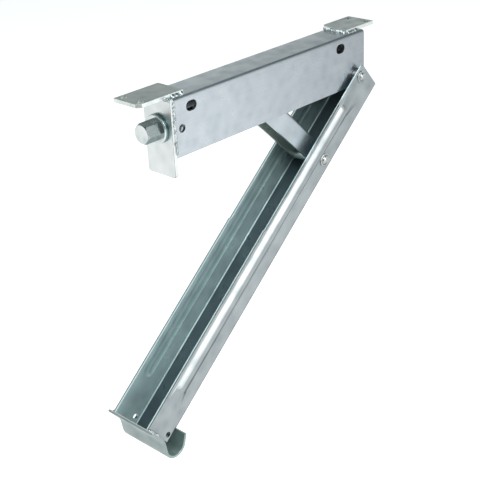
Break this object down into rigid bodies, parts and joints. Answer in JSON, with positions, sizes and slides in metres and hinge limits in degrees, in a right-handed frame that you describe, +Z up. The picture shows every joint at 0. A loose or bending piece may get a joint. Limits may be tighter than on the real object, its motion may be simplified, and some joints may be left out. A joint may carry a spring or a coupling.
{
  "type": "corner steady",
  "caption": "Screw-driven corner steady: a channel bolted under a chassis holds a hex-driven screw whose nut and link swing down a long channel leg with a hooked foot.",
  "frame": {"origin": "on the channel's middle plane, above the end plate's rear face, in the plane of the tabs' upper faces that meet the chassis", "axes": "+X along the screw from the drive hex to the leg's pivot, +Y across the channel towards the side that the tabs overhang, +Z up into the chassis"},
  "size_m": [0.3973, 0.0694, 0.3844],
  "materials": {
    "galvanised_sheet": "zinc-coated pressed sheet, satin, faintly mottled",
    "zinc_plate": "zinc-coated flat plate, satin",
    "weld_bead": "rippled weld under the zinc coat, glossy",
    "plated_fastener": "zinc-plated turned steel",
    "screw_steel": "greased machined steel",
    "oiled_bronze": "oiled sintered bronze",
    "spring_steel": "phosphated spring steel"
  },
  "bodies": {
    "frame": {"top_channel": "galvanised_sheet", "front_end_plate": "zinc_plate", "front_mounting_tab": "zinc_plate", "rear_mounting_tab": "zinc_plate", "end_plate_welds": "weld_bead", "front_tab_welds": "weld_bead", "rear_tab_welds": "weld_bead", "rear_bearing_plate": "zinc_plate", "front_bearing_bush": "oiled_bronze", "leg_pivot_tube": "plated_fastener"},
    "screw": {"lead_screw": "screw_steel", "drive_hex": "plated_fastener", "thrust_collar": "plated_fastener", "inner_thrust_washer": "oiled_bronze", "inner_stop_collar": "plated_fastener", "collar_roll_pin": "spring_steel", "screw_end_washer": "plated_fastener", "screw_end_clip": "spring_steel"},
    "leg": {"leg_channel": "galvanised_sheet", "leg_pivot_rivet": "plated_fastener", "link_rivet": "plated_fastener", "pivot_spacers": "plated_fastener", "link_spacers": "plated_fastener", "foot_plate": "zinc_plate", "foot_welds": "weld_bead"},
    "link": {"brace_link": "galvanised_sheet", "link_rivet_sleeve": "plated_fastener"},
    "carriage": {"traveller_nut": "screw_steel", "trunnion_pin": "plated_fastener", "trunnion_clips": "spring_steel"}
  },
  "joints": [
    {"name": "leg_fold", "type": "hinge", "parent": "frame", "child": "leg", "pos_m": [0.279, 0, -0.0538], "axis": [0, -1, 0], "range_deg": [-38.8, 28.2]},
    {"name": "link_swing", "type": "hinge", "parent": "leg", "child": "link", "pos_m": [0.21216, 0, -0.13214], "axis": [0, -1, 0], "range_deg": [-56.6, 77.8]},
    {"name": "nut_level", "type": "hinge", "parent": "link", "child": "carriage", "pos_m": [0.14531, 0, -0.0538], "axis": [0, -1, 0], "range_deg": [-39, 28.4]},
    {"name": "screw_turn", "type": "hinge", "parent": "frame", "child": "screw", "pos_m": [0, 0, -0.0355], "axis": [-1, 0, 0], "range_deg": [-8267, 6009]}
  ],
  "couplings": [
    {"joint": "link_swing", "follows": "leg_fold", "ratio": -2},
    {"joint": "nut_level", "follows": "leg_fold", "ratio": 1},
    {"joint": "screw_turn", "follows": "leg_fold", "ratio": 213.02}
  ]
}
